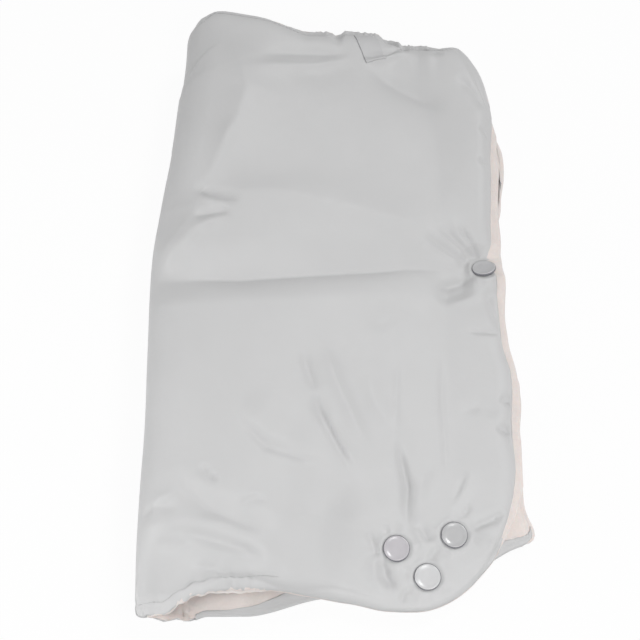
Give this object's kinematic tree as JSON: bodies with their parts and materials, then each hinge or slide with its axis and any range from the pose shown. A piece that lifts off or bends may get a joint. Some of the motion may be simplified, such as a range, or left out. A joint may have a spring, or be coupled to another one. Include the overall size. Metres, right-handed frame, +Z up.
{
  "type": "stroller hand muff",
  "caption": "Padded fabric hand muff that folds round a pushchair handlebar, fleece lined, closed along one side with press studs.",
  "frame": {"origin": "the middle of the flat underside, on the table", "axes": "+Z up, +Y along the handlebar and the fold, towards the mouth with the fabric tab, +X from the fold to the open side"},
  "size_m": [0.265, 0.4607, 0.0578],
  "materials": {
    "shell_cloth": "soft satin woven nylon",
    "wadding": "fibre wadding",
    "fleece": "short pile fleece",
    "elastic_tape": "woven elastic",
    "tab_tape": "woven tape",
    "cap_plastic": "pearly moulded plastic",
    "snap_plastic": "moulded plastic",
    "spring_steel": "bright spring wire"
  },
  "bodies": {
    "back_panel": {"back_shell": "shell_cloth", "back_wadding": "wadding", "back_lining": "fleece", "snap_stud_inner": "snap_plastic", "snap_stud_outer": "snap_plastic", "snap_stud_hem": "snap_plastic", "snap_stud_middle": "snap_plastic", "snap_post_inner": "snap_plastic", "snap_post_outer": "snap_plastic", "snap_post_hem": "snap_plastic", "snap_post_middle": "snap_plastic"},
    "front_panel": {"front_shell": "shell_cloth", "front_wadding": "wadding", "front_lining": "fleece", "near_hem_elastic": "elastic_tape", "far_hem_elastic": "elastic_tape", "snap_cap_inner": "cap_plastic", "snap_cap_outer": "cap_plastic", "snap_cap_hem": "cap_plastic", "snap_cap_middle": "cap_plastic", "snap_socket_inner": "snap_plastic", "snap_socket_outer": "snap_plastic", "snap_socket_hem": "snap_plastic", "snap_socket_middle": "snap_plastic", "snap_spring_inner": "spring_steel", "snap_spring_outer": "spring_steel", "snap_spring_hem": "spring_steel", "snap_spring_middle": "spring_steel"},
    "tab": {"label_tab": "tab_tape"}
  },
  "joints": [
    {"name": "front_panel_fold", "type": "hinge", "parent": "back_panel", "child": "front_panel", "pos_m": [-0.133, 0, 0.028], "axis": [0, -1, 0], "range_deg": [0, 180]},
    {"name": "label_tab_flip", "type": "hinge", "parent": "front_panel", "child": "tab", "pos_m": [0.024, 0.22973, 0.023], "axis": [-1, 0, 0], "range_deg": [0, 120]}
  ]
}
